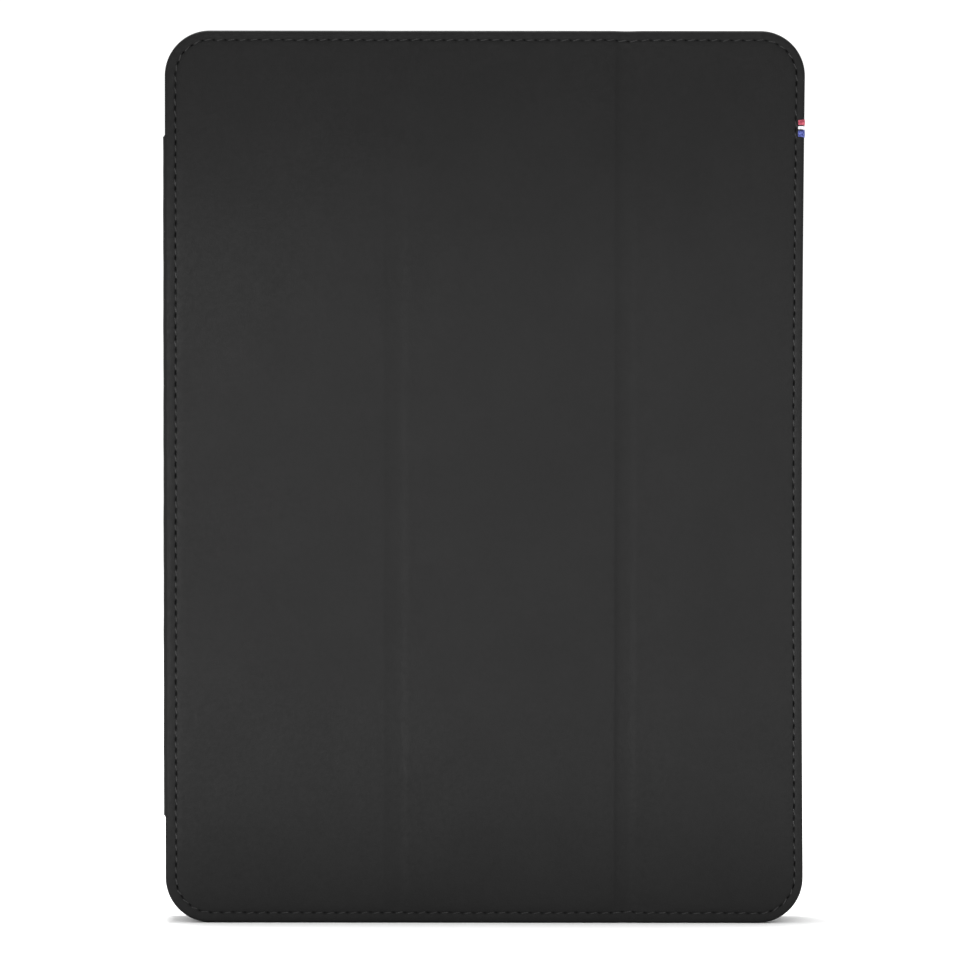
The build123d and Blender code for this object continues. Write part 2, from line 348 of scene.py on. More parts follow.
def seam_shift(inset, out):
    """How much further in a point lies because the seam sits a little right of and above the
    outline's middle. Nothing moves at the hem's edge or far in on the face."""
    hem_start = FOLD_CUT - SPINE_PROUD
    weight = smoothstep((inset - hem_start) / (SEAM_INSET - hem_start))
    weight = weight * fade_out(inset, SEAM_INSET, FACE_RING)
    return -weight * (SEAM_SHIFT[0] * out[:, 0] + SEAM_SHIFT[1] * out[:, 1])


# --- Mesh building ---

def legs(points, steps):
    """The points of a broken line with each leg divided into that many steps."""
    made = [points[0]]
    for start, end, count in zip(points, points[1:], steps):
        for k in range(1, count + 1):
            share = k / count
            made.append(tuple(a + (b - a) * share for a, b in zip(start, end)))
    return made


def rounding(centre, radius, start, end, steps):
    """Points of an arc about centre, from one angle in degrees to another."""
    angles = np.radians(np.linspace(start, end, steps + 1))
    return [(centre[0] + radius * math.cos(a), centre[1] + radius * math.sin(a)) for a in angles]


SHARP_ANGLE = 50


def make_mesh(name, vertices, faces, sharp_angle=SHARP_ANGLE):
    """An object from points in millimetres and faces."""
    mesh = bpy.data.meshes.new(name)
    mesh.from_pydata((np.asarray(vertices) * MM).tolist(), [], faces)
    work = bmesh.new()
    work.from_mesh(mesh)
    bmesh.ops.recalc_face_normals(work, faces=work.faces)
    work.to_mesh(mesh)
    work.free()
    return add_object(name, mesh, sharp_angle)


def add_object(name, mesh, sharp_angle=SHARP_ANGLE):
    """A smooth-shaded object. Its attribute "rest" keeps each vertex's place, so that grain
    stays put on a piece that bends."""
    mesh.shade_smooth()
    mesh.set_sharp_from_angle(angle=math.radians(sharp_angle))
    places = np.zeros(len(mesh.vertices) * 3, np.float32)
    mesh.vertices.foreach_get("co", places)
    rest = mesh.attributes.get("rest") or mesh.attributes.new("rest", "FLOAT_VECTOR", "POINT")
    rest.data.foreach_set("vector", places)
    made = bpy.data.objects.new(name, mesh)
    scene.collection.objects.link(made)
    return made


def quads(first, second, count):
    """Faces between two closed rings of that many points, given where each ring starts."""
    return [(first + i, first + (i + 1) % count, second + (i + 1) % count, second + i)
            for i in range(count)]


def circle(hole, grow, count):
    """Points round a hole, that much outside its edge. A hole is its middle and its radius."""
    x, z, radius = hole
    angles = np.arange(count) * 2 * math.pi / count
    return np.column_stack([x + (radius + grow) * np.cos(angles),
                            z + (radius + grow) * np.sin(angles)])


def fill_loops(loops, inside):
    """Triangles that fill a closed loop through the points inside it, and round a second loop
    where there is one. They number the loops' points first, then the others."""
    edges = []
    first = 0
    for loop in loops:
        edges += [(first + i, first + (i + 1) % len(loop)) for i in range(len(loop))]
        first += len(loop)
    points = [Vector(p) for p in np.concatenate([*loops, inside]).tolist()]
    made = delaunay_2d_cdt(points, edges, [], 1, 1e-5)
    number = {new: olds[0] for new, olds in enumerate(made[3]) if olds}
    triangles = [tuple(number[v] for v in face) for face in made[2]]
    return [t for t in triangles if not len(loops[0]) <= min(t) <= max(t) < first]


class Shell:
    """The points and faces of a closed piece in the making."""

    def __init__(self):
        self.points = []
        self.faces = []
        self.count = 0

    def add(self, places, y):
        """Adds points at their places across and up, and returns where they start."""
        first = self.count
        y = np.broadcast_to(y, (len(places),))
        self.points.append(np.column_stack([places[:, 0], y, places[:, 1]]))
        self.count += len(places)
        return first

    def add_rings(self, rings):
        """Adds closed rings of (places, y), each joined to the next, and returns their starts."""
        starts = [self.add(places, y) for places, y in rings]
        for first, second in zip(starts, starts[1:]):
            self.join(first, second, len(rings[0][0]))
        return starts

    def join(self, first, second, count):
        self.faces += quads(first, second, count)

    def cap(self, ring_start, loops, inside, y):
        """Fills the ring that starts there, which is the first loop, and returns where the new
        points start, a second loop's first. y is theirs, or a function from places to it."""
        steps = len(loops[0])
        triangles = fill_loops(loops, inside)
        inside = np.concatenate([*loops[1:], inside])
        first = self.add(inside, y(inside) if callable(y) else y)
        self.faces += [tuple(ring_start + v if v < steps else first + v - steps for v in t)
                       for t in triangles]
        return first

    def made(self, name):
        return make_mesh(name, np.concatenate(self.points), self.faces)


# Margins of the close columns beside a crease, and of points beside a ring and a hole
CREASE_MARGIN = 0.4
RING_MARGIN = 1.0
HOLE_MARGIN = 0.8


def spaced(start, end, step):
    """Evenly spaced values from start to end, at most step apart."""
    return np.linspace(start, end, max(2, math.ceil((end - start) / step) + 1))


def crease_columns(coarse, fine):
    """Column places across the cover, close together where it creases."""
    edges = [LEFT]
    for crease in CREASES:
        edges += [crease.x - crease.half - CREASE_MARGIN, crease.x + crease.half + CREASE_MARGIN]
    edges.append(RIGHT)
    steps = [coarse, fine, coarse, fine, coarse]
    columns = [spaced(a, b, s)[:-1] for a, b, s in zip(edges, edges[1:], steps)]
    return np.concatenate(columns + [[RIGHT]])


def inside_points(outline, inset, columns, row_step, hole=None):
    """Grid points that lie well inside the outline at an inset, clear of any round hole."""
    rows = spaced(outline.low[1] + inset, outline.high[1] - inset, row_step)
    x, z = (grid.ravel() for grid in np.meshgrid(columns, rows))
    radius = outline.corner_r - inset
    half = (outline.high - outline.low) / 2 - inset
    middle = (outline.high + outline.low) / 2
    over_x = np.abs(x - middle[0]) - (half[0] - radius)
    over_z = np.abs(z - middle[1]) - (half[1] - radius)
    beyond = np.hypot(np.maximum(over_x, 0), np.maximum(over_z, 0))
    beyond = beyond + np.minimum(np.maximum(over_x, over_z), 0) - radius
    keep = beyond < -RING_MARGIN
    if hole:
        keep &= np.hypot(x - hole[0], z - hole[1]) > hole[2] + HOLE_MARGIN
    return np.column_stack([x[keep], z[keep]])


def section_sweep(name, sections, sharp_angle=SHARP_ANGLE):
    """A closed piece through a row of equal closed sections, capped at both ends."""
    count = len(sections[0])
    last = (len(sections) - 1) * count
    faces = []
    for first in range(0, last, count):
        faces += quads(first, first + count, count)
    faces.append(tuple(range(count)))
    faces.append(tuple(range(last, last + count)))
    return make_mesh(name, np.concatenate(sections), faces, sharp_angle)


def cut_piece(piece, name, x, keep_left):
    """A closed copy of a piece on one side of an upright plane at x."""
    mesh = piece.data.copy()
    mesh.name = name
    work = bmesh.new()
    work.from_mesh(mesh)
    geometry = work.verts[:] + work.edges[:] + work.faces[:]
    cut = bmesh.ops.bisect_plane(
        work, geom=geometry, dist=1e-7, plane_co=(x * MM, 0, 0), plane_no=(1, 0, 0),
        clear_outer=keep_left, clear_inner=not keep_left)
    rim = [e for e in cut["geom_cut"] if isinstance(e, bmesh.types.BMEdge)]
    bmesh.ops.edgeloop_fill(work, edges=rim)
    bmesh.ops.recalc_face_normals(work, faces=work.faces)
    work.to_mesh(mesh)
    work.free()
    return add_object(name, mesh)


# --- The leather skin ---

def hem_profile(side):
    """(inset, depth) points from the hem's face round the turned edge to the board's pocket."""
    thick = side.thickness
    turned = rounding((EDGE_R, EDGE_R + HEM_SINK), EDGE_R, 270, 180, 5)
    inner = rounding((TURN_R, thick - TURN_R), TURN_R, 180, 90, 3)
    if side is FLAP:
        bed = legs([(1.0, thick), (LINING_INSET, thick), (LINING_INSET, LINING_DEPTH),
                    (BOARD_INSET, LINING_DEPTH), (BOARD_INSET, LEATHER)], [1, 2, 2, 2])
    else:
        bed = legs([(1.0, thick), (BOARD_INSET, thick), (BOARD_INSET, LEATHER)], [5, 2])
    return turned[1:] + inner + bed


def fold_bed(side):
    """(distance in from the spine's outside, depth) where leather meets the hinge's lining,
    from the panel's board to the bottom of the mitre."""
    end = side.pocket_end
    return [(BOARD_INSET + SPINE_PROUD, end), (3.95, 2.05 if side is FLAP else 1.95),
            (2.4, 1.52), (1.6, 1.27), (MITRE, MITRE)]


def fold_cut_profile(side, count):
    """(inset, depth) points where the panel's leather is cut along the fold, and its bed."""
    bed = fold_bed(side)
    points = [(FOLD_CUT, 0.0), bed[1], bed[0], (bed[0][0], LEATHER)]
    steps = [count - 6, 3, 3]
    return [(x - SPINE_PROUD, depth) for x, depth in legs(points, steps)][1:]


# Insets of the rings of points round the face, close together at the seam. The last ones are
# others beside the spine, and the back has none beyond 5 mm, where its camera opening is near.
FACE_INSETS = [8.0, 6.6, 5.6, 4.9, 4.4, 4.0, 3.7, 3.45, 3.25, 3.05, 2.9, 2.75, 2.6, 2.4, 2.15,
               1.85, 1.5, 1.15, EDGE_R]
FACE_INSETS_BY_SPINE = FACE_INSETS[:-4] + [1.9, 1.7, 1.5, FOLD_CUT - SPINE_PROUD]
BACK_FIRST_RING = 3
FAR_INSET = 50.0

# The hem's ring that the face's unevenness no longer reaches
HEM_SETTLED = 6

# Spacing of the points on the face and in the board's pocket: across, across a crease, and up
FACE_SPACING = (2.6, 0.45, 2.6)
POCKET_SPACING = (6.0, 0.8, 9.0)

# The camera opening's edge in the leather: (how far outside the hole, depth), face to pocket
CAMERA_RING = 0.5
CAMERA_WALL = [(0.22, 0.05), (0.06, 0.16), (0.0, 0.34)]
CAMERA_STEPS = 96


def panel_rings(side, outline, first_ring):
    """Closed rings of (places, y) from the panel's face round its hem to the board's pocket."""
    spine = beside_spine(outline)
    rim = outline.at(0)
    upright = np.abs(outline.out[:, 0])
    rings = []
    for plain, by_spine in zip(FACE_INSETS[first_ring:], FACE_INSETS_BY_SPINE[first_ring:]):
        inset = np.where(spine, by_spine, plain)
        place = outline.at(pinched(side, inset, rim, outline.out)
                           + seam_shift(inset, outline.out))
        depth = face_depth(side, place[:, 0], place[:, 1], inset, outline.along, spine, upright)
        rings.append((place, side.y(depth)))
    unevenly_sunk = depth - HEM_SINK
    hem = hem_profile(side)
    fold = fold_cut_profile(side, len(hem))
    for k, ((inset, hem_depth), (fold_inset, fold_depth)) in enumerate(zip(hem, fold)):
        settle = 0.5 * max(0.0, 1 - k / HEM_SETTLED)
        inset = np.where(spine, fold_inset, inset)
        place = outline.at(pinched(side, inset, rim, outline.out, False))
        hem_depth = hem_depth + unevenly_sunk * settle
        rings.append((place, side.y(np.where(spine, fold_depth, hem_depth))))
    return rings


def panel_skin(side, name):
    """The leather of the flap or the back, the back's pierced for the camera."""
    outline, _ = cover_outline()
    first_ring, hole = 0, None
    if side is REAR:
        first_ring, hole = BACK_FIRST_RING, (CAMERA_X, CAMERA_Z, CAMERA_HOLE_R)
    rings = panel_rings(side, outline, first_ring)
    shell = Shell()
    starts = shell.add_rings(rings)

    def face_y(places):
        far = np.full(len(places), FAR_INSET)
        return side.y(face_depth(side, places[:, 0], places[:, 1], far, 0 * far, far < 0))

    # The face and the pocket's floor: its ring, inset, spacing, margin round the hole, and y
    ends = ((0, FACE_INSETS[first_ring], FACE_SPACING, CAMERA_RING, face_y),
            (-1, BOARD_INSET, POCKET_SPACING, 0.0, side.y(LEATHER)))
    holes = []
    for k, inset, (across, on_crease, up), grow, y in ends:
        inside = inside_points(outline, inset, crease_columns(across, on_crease), up, hole)
        edges = [circle(hole, grow, CAMERA_STEPS)] if hole else []
        holes.append(shell.cap(starts[k], [rings[k][0], *edges], inside, y))
    if hole:
        wall = [(circle(hole, grow, CAMERA_STEPS), side.y(depth)) for grow, depth in CAMERA_WALL]
        wall_starts = shell.add_rings(wall)
        shell.join(holes[0], wall_starts[0], CAMERA_STEPS)
        shell.join(wall_starts[-1], holes[-1], CAMERA_STEPS)
    return shell.made(name)


# How far the spine's leather goes past the last steps beside it, and where its fold's stray ends
SPINE_END_REACH = 0.55
RIDGE_END_DEPTH = 6.0


def fold_ridge(z):
    """How far in the spine's fold strays at a height."""
    return 0.05 + 0.03 * math.sin(z * 0.21) + 0.02 * math.sin(z * 0.57 + 1.0)


def fold_skin(side, name):
    """The leather of half the spine, joined to a panel's leather at the mitred fold."""
    outline, _ = cover_outline()
    steps = np.flatnonzero(beside_spine(outline))[::-1]
    heights = outline.base[steps, 1]
    along = outline.along[steps]
    low, high = heights[0] - SPINE_END_REACH, heights[-1] + SPINE_END_REACH

    corner = [(1.75, 0.018), (1.6, 0.04), (1.45, 0.065)]
    corner += rounding((SPINE_EDGE_R, SPINE_EDGE_R + 0.07), SPINE_EDGE_R, 260, 180, 10)
    outside = legs([corner[-1], (0, 2.6), (0, SPINE_MIDDLE)], [4, 4])[1:]
    inside = legs([(LEATHER, SPINE_MIDDLE), (LEATHER, SPINE_BOARD_END - 0.02),
                   (1.8, SPINE_BOARD_END - 0.1), (1.45, 2.3), (MITRE, MITRE)], [3, 1, 2, 3])
    bed = legs(fold_bed(side)[:0:-1], [1, 2, 3])[1:]
    diagonal = legs([bed[-1], (FOLD_CUT, 0.0)], [4])[1:-1]
    profile = corner + outside + inside + bed + diagonal
    seen = len(corner) + len(outside)

    sections = []
    for z, distance in zip([low, *heights, high], [along[0], *along, along[-1]]):
        sunk = float(face_depth(side, LEFT, z, FOLD_CUT - SPINE_PROUD, distance, True))
        section = [(FOLD_CUT, side.y(sunk), z)]
        for number, (x, depth) in enumerate(profile):
            if number < seen:
                near_edge = max(0.0, 1 - x / SPINE_EDGE_R) * max(0.0, 1 - depth / RIDGE_END_DEPTH)
                x += fold_ridge(z) * near_edge
            section.append((x, side.y(depth + sunk * max(0.0, 1 - depth)), z))
        if z in (low, high):
            section = [(max(x, SPINE_PROUD), y, z) for x, y, z in section]
        sections.append(np.array([(SPINE_OUTSIDE + x, y, z) for x, y, z in section]))
    return section_sweep(name, sections)


# --- The seam ---

THREAD_HALF_WIDTH = 0.19
THREAD_LENGTH = 2.4
THREAD_SLANT = math.radians(12)
THREAD_SIDES = 8
THREAD_RINGS = 9
THREAD_TWIST = 1.6
THREAD_DIVE = 0.45
THREAD_FLATNESS = 0.85
SHALLOWEST_THREAD = 0.005

# How much stitches differ from one another, and what level runs and creases do to them
STITCH_STRAY = 0.04
SLANT_RANGE = (0.6, 1.4)
LENGTH_RANGE = (0.93, 1.05)
GIRTH_RANGE = (0.9, 1.1)
LEVEL_LONGER = 0.12
LEVEL_THINNER = 0.2
CREASE_LONGER = 0.08


@dataclass
class Stitch:
    """One stitch seen square on: its middle, its direction and the direction across it, how
    long it is, and how thick against the usual thread."""
    middle: np.ndarray
    direction: np.ndarray
    across: np.ndarray
    length: float
    fat: float


def stitches_of(side, outline, count):
    """The stitches all round a side. Those that run level are longer and thinner, and those
    that cross a crease are longer still."""
    chance = random.Random(7 if side is FLAP else 8)
    made = []
    for number in range(count):
        along = (number + 0.5) * STITCH_STEP
        step = along / outline.length * len(outline.base)
        i = int(step)
        j = (i + 1) % len(outline.base)
        share = step - i
        base = outline.base[i] * (1 - share) + outline.base[j] * share
        out = outline.out[i] * (1 - share) + outline.out[j] * share
        out = out / np.linalg.norm(out)
        rim = base + out * outline.corner_r
        stray = chance.uniform(-STITCH_STRAY, STITCH_STRAY)
        inset = np.array([SEAM_INSET + seam_wander(along) + stray])
        inset = pinched(side, inset, rim[None], out[None]) + seam_shift(inset, out[None])
        middle = base + out * (outline.corner_r - float(inset[0]))
        forward = np.array([-out[1], out[0]])
        turn = THREAD_SLANT * chance.uniform(*SLANT_RANGE)
        direction = forward * math.cos(turn) - out * math.sin(turn)
        across = np.array([direction[1], -direction[0]])
        level = abs(out[1])
        on_crease = float(near_creases(rim[0])) * level
        stretch = 1 + LEVEL_LONGER * level + CREASE_LONGER * on_crease
        length = THREAD_LENGTH * chance.uniform(*LENGTH_RANGE) * stretch
        fat = chance.uniform(*GIRTH_RANGE) * (1 - LEVEL_THINNER * level)
        made.append(Stitch(middle, direction, across, length, fat))
    return made


def thread_mesh(name, side, stitches):
    """Short slack bars of twisted thread whose ends dive into their needle holes."""
    vertices = []
    faces = []
    for stitch in stitches:
        start = len(vertices)
        for t in np.linspace(-1, 1, THREAD_RINGS):
            girth = THREAD_HALF_WIDTH * stitch.fat * math.sqrt(max(0.03, 1 - abs(t) ** 3))
            centre = stitch.middle + stitch.direction * (t * stitch.length / 2)
            centre_depth = SEAM_VALLEY + THREAD_DIVE * abs(t) ** 5
            for k in range(THREAD_SIDES):
                angle = 2 * math.pi * k / THREAD_SIDES + t * THREAD_TWIST
                place = centre + stitch.across * (girth * math.cos(angle))
                depth = centre_depth + girth * THREAD_FLATNESS * math.sin(angle)
                vertices.append((place[0], side.y(max(depth, SHALLOWEST_THREAD)), place[1]))
        end = len(vertices) - THREAD_SIDES
        for first in range(start, end, THREAD_SIDES):
            faces += quads(first, first + THREAD_SIDES, THREAD_SIDES)
        faces.append(tuple(range(start, start + THREAD_SIDES)))
        faces.append(tuple(range(end, end + THREAD_SIDES)))
    return make_mesh(name, vertices, faces, 80)


# --- Linings, the tray's pad and the tag ---

HINGE_LINING_START = LINING_INSET - 0.3
SHEET_LEAN = 0.18
SHEET_SPACING = 8.0
PAD_CORNER_R = 9.2
PAD_STEPS = 480
PAD_HOLE_STEPS = 72


def soft_sheet(name, outline, insets, y_shown, y_hidden, columns, row_step, bevel, hole=None):
    """A thin sheet glued down: a shown face with a rounded edge, and a hidden face.

    insets holds one inset per point of the outline, for where its edge lies."""
    lean = SHEET_LEAN if y_shown > y_hidden else -SHEET_LEAN
    profile = [(bevel, y_shown), (bevel * 0.4, y_shown - lean * 0.15),
               (bevel * 0.1, y_shown - lean * 0.5), (0.0, y_shown - lean), (0.0, y_hidden)]
    rings = [(outline.at(insets + extra), y) for extra, y in profile]
    shell = Shell()
    starts = shell.add_rings(rings)
    inside = inside_points(outline, float(np.max(insets)) + bevel, columns, row_step, hole)
    edges = [circle(hole, 0.0, PAD_HOLE_STEPS)] if hole else []
    holes = [shell.cap(starts[k], [rings[k][0], *edges], inside, rings[k][1]) for k in (0, -1)]
    if hole:
        shell.join(*holes, PAD_HOLE_STEPS)
    return shell.made(name)


def flap_lining():
    """The microfibre inside the flap, up to the hinge's own lining beside the spine."""
    outline, _ = cover_outline(3)
    hinge = beside_spine(outline, HINGE_LINING_START)
    insets = np.where(hinge, BOARD_INSET, LINING_INSET)
    insets = pinched(FLAP, insets, outline.at(0), outline.out * (1, 0), False)
    columns = crease_columns(SHEET_SPACING, 0.6)
    return soft_sheet("flap_lining", outline, insets, FLAP_INSIDE, FRONT + LINING_DEPTH,
                      columns, SHEET_SPACING, 0.4)


def fold_lining(side, name, reach):
    """The microfibre from a panel down into the fold and on to the spine's middle."""
    outer = [(reach, 2.12 if side is FLAP else 1.72), (2.4, 1.54), (1.6, 1.29),
             (MITRE + 0.05, MITRE + 0.04), (1.47, 2.3), (1.8, SPINE_BOARD_END), (1.8, SPINE_MIDDLE)]
    inner = [(2.4, SPINE_MIDDLE), (2.4, 4.3), (2.2, 3.2), (2.0, 2.5), (1.9, 2.0), (2.4, 2.05),
             (reach, 2.6 if side is FLAP else 2.12)]
    section = legs(outer, [2, 2, 2, 3, 2, 2]) + legs(inner, [3, 3, 2, 2, 2, 2])
    sections = []
    for z in spaced(SPINE_BOTTOM + LINING_INSET, SPINE_TOP - LINING_INSET, 4.0):
        sections.append(np.array([(SPINE_OUTSIDE + x, side.y(d), z) for x, d in section]))
    return section_sweep(name, sections)


def tray_pad():
    """The microfibre sheet on the tray's floor, cut away round the camera."""
    low, high = box_mm("tray_pad")
    outline = Outline((low[0], low[2]), (high[0], high[2]), PAD_CORNER_R, PAD_STEPS)
    columns = spaced(low[0], high[0], SHEET_SPACING)
    return soft_sheet("tray_lining", outline, np.zeros(PAD_STEPS), low[1], high[1], columns,
                      SHEET_SPACING, 0.15, (CAMERA_X, CAMERA_Z, CAMERA_PAD_R))


# The tag's legs and the bevel of their ends, its thickness and bend, where its stripes end as
# shares of its height, and how much thinner, narrower and shorter it is between two stripes
TAG_LEG = 1.85
TAG_BEVEL = (0.12, 0.06)
TAG_THICK = 0.3
TAG_BEND_R = 0.9
TAG_STRIPE_ENDS = (0.0, 0.43, 0.65, 1.0)
TAG_WAIST = 0.15
TAG_EDGE_WAIST = 0.12
TAG_FRAY = 0.35
TAG_SECTIONS = 41


def tag_swell(share):
    """How full the tag is at a share of its height: 1 at a stripe's middle, 0 between two."""
    for low, high in zip(TAG_STRIPE_ENDS, TAG_STRIPE_ENDS[1:]):
        if share <= high:
            return math.sqrt(max(0.0, 1 - (2 * (share - low) / (high - low) - 1) ** 2))
    return 0.0


def edge_tag():
    """The woven tag folded over the free edge, each of its stripes swelling a little."""
    low, high = box_mm("edge_tag")
    proud = high[0] - RIGHT
    depth = high[1] - low[1]
    bend = (TAG_BEND_R - proud, TAG_BEND_R)
    far_bend = (bend[0], depth - TAG_BEND_R)
    near = rounding(bend, TAG_BEND_R, 270, 180, 6)
    far = rounding(far_bend, TAG_BEND_R, 180, 90, 6)
    bevel = TAG_LEG - TAG_BEVEL[0]
    outer = legs([(TAG_LEG, TAG_BEVEL[1]), (bevel, 0.0), near[0]], [1, 4])[:-1] + near + far
    outer += legs([far[-1], (bevel, depth), (TAG_LEG, depth - TAG_BEVEL[1])], [4, 1])[1:]
    small = TAG_BEND_R - TAG_THICK
    far_in = rounding(far_bend, small, 90, 180, 5)
    near_in = rounding(bend, small, 180, 270, 5)
    inner = legs([(TAG_LEG, depth - TAG_THICK), far_in[0]], [4])[:-1] + far_in + near_in
    inner += legs([near_in[-1], (TAG_LEG, TAG_THICK)], [4])[1:]
    sections = []
    for share in np.linspace(0, 1, TAG_SECTIONS):
        z = low[2] + share * (high[2] - low[2])
        slack = 1 - tag_swell(share)
        points = []
        for number, (inset, d) in enumerate(outer + inner):
            if number < len(outer):
                toward_middle = 1 if d < depth / 2 else -1
                d += TAG_WAIST * slack * toward_middle
                inset += TAG_EDGE_WAIST * slack * (inset < 0.5)
            inset -= TAG_FRAY * slack**2 * (inset > TAG_LEG - 0.4)
            points.append((RIGHT - inset - free_edge_bow(z), FRONT + d, z))
        sections.append(np.array(points))
    return section_sweep("woven_tag", sections, 60)


# --- Materials ---

class Look:
    """A material under construction: a Principled shader and a chain of bumps."""

    def __init__(self, name, colour, roughness, at_rest, **sockets):
        self.material = bpy.data.materials.new(name)
        self.material.use_nodes = True
        self.tree = self.material.node_tree
        self.shader = self.tree.nodes["Principled BSDF"]
        self.shader.inputs["Base Color"].default_value = (*colour, 1)
        self.shader.inputs["Roughness"].default_value = roughness
        for socket, value in sockets.items():
            self.shader.inputs[socket.replace("_", " ")].default_value = value
        if at_rest:
            source = self.add("ShaderNodeAttribute")
            source.attribute_name = "rest"
            self.place = source.outputs["Vector"]
        else:
            self.place = self.add("ShaderNodeTexCoord").outputs["Object"]
        self.normal = None

    def add(self, kind):
        return self.tree.nodes.new(kind)

    def link(self, source, target):
        self.tree.links.new(source, target)

    def stretched(self, z):
        """The place with its height scaled."""
        node = self.add("ShaderNodeMapping")
        node.inputs["Scale"].default_value = (1, 1, z)
        self.link(self.place, node.inputs["Vector"])
        return node.outputs["Vector"]

    def noise(self, scale, detail, place=None):
        node = self.add("ShaderNodeTexNoise")
        node.inputs["Scale"].default_value = scale
        node.inputs["Detail"].default_value = detail
        self.link(place or self.place, node.inputs["Vector"])
        return node.outputs["Fac"]

    def cells(self, scale):
        node = self.add("ShaderNodeTexVoronoi")
        node.inputs["Scale"].default_value = scale
        self.link(self.place, node.inputs["Vector"])
        return node.outputs["Distance"]

    def wave(self, scale, direction, distortion=0.0):
        node = self.add("ShaderNodeTexWave")
        node.bands_direction = direction
        node.inputs["Scale"].default_value = scale
        node.inputs["Distortion"].default_value = distortion
        self.link(self.place, node.inputs["Vector"])
        return node.outputs["Fac"]

    def ramp(self, source, low, high, start=0.3, end=0.7):
        """A value or colour that goes from low to high as source goes from start to end."""
        node = self.add("ShaderNodeValToRGB")
        for element, place, value in zip(node.color_ramp.elements, (start, end), (low, high)):
            element.position = place
            element.color = (*value, 1) if isinstance(value, tuple) else (value,) * 3 + (1,)
        self.link(source, node.inputs["Fac"])
        return node.outputs["Color"]

    def bump(self, height, distance, strength):
        """Adds relief of a height in metres on top of what is there."""
        node = self.add("ShaderNodeBump")
        node.inputs["Distance"].default_value = distance
        node.inputs["Strength"].default_value = strength
        self.link(height, node.inputs["Height"])
        if self.normal is not None:
            self.link(self.normal, node.inputs["Normal"])
        self.normal = node.outputs["Normal"]
        self.link(self.normal, self.shader.inputs["Normal"])

    def colour(self, source):
        self.link(source, self.shader.inputs["Base Color"])

    def roughness(self, source):
        self.link(source, self.shader.inputs["Roughness"])


def leather_look():
    look = Look("leather_black_grained", (0.004, 0.004, 0.004), 0.5, True, Specular_IOR_Level=0.135)
    look.colour(look.ramp(look.noise(55.0, 2.0), 0.0034, 0.0044))
    look.roughness(look.ramp(look.noise(900.0, 2.0), 0.46, 0.56))
    look.bump(look.cells(1900.0), 0.00006, 0.35)
    look.bump(look.noise(5200.0, 2.0), 0.00003, 0.3)
    return look.material


def microfibre_look(name, colour):
    look = Look(name, colour, 0.95, True, Sheen_Weight=0.35, Sheen_Roughness=0.6,
                Specular_IOR_Level=0.15)
    dark = tuple(c * 0.85 for c in colour)
    light = tuple(c * 1.15 for c in colour)
    look.colour(look.ramp(look.noise(260.0, 4.0), dark, light))
    look.bump(look.noise(6000.0, 3.0), 0.00008, 0.7)
    look.bump(look.noise(300.0, 3.0), 0.0002, 0.25)
    return look.material


def thread_look():
    look = Look("thread_black", (0.01, 0.01, 0.01), 0.4, True, Specular_IOR_Level=0.4)
    plies = look.wave(900.0, "DIAGONAL", 1.0)
    look.bump(plies, 0.00008, 0.8)
    look.colour(look.ramp(plies, 0.005, 0.013, 0.0, 1.0))
    return look.material


def board_look():
    look = Look("greyboard", (0.22, 0.20, 0.18), 0.9, False)
    fibres = look.noise(900.0, 5.0, look.stretched(0.3))
    look.colour(look.ramp(fibres, (0.16, 0.15, 0.13), (0.30, 0.28, 0.25)))
    look.bump(fibres, 0.0001, 0.4)
    return look.material


def tray_look():
    look = Look("tray_plastic_black", (0.02, 0.02, 0.021), 0.5, False, Specular_IOR_Level=0.45)
    look.bump(look.noise(3500.0, 2.0), 0.00005, 0.4)
    look.roughness(look.ramp(look.noise(120.0, 3.0), 0.44, 0.56))
    look.colour(look.ramp(look.noise(40.0, 2.0), 0.017, 0.023))
    return look.material


def adhesive_look():
    look = Look("adhesive_film", (0.55, 0.53, 0.48), 0.35, False)
    look.bump(look.noise(500.0, 3.0), 0.00005, 0.5)
    look.colour(look.ramp(look.noise(90.0, 3.0), (0.48, 0.46, 0.41), (0.62, 0.6, 0.55)))
    return look.material


def metal_look(name, colour, roughness, along):
    look = Look(name, colour, roughness, False, Metallic=1.0)
    brushed = look.noise(2500.0, 3.0, look.stretched(along))
    look.roughness(look.ramp(brushed, roughness - 0.08, roughness + 0.1))
    look.bump(brushed, 0.00002, 0.3)
    return look.material


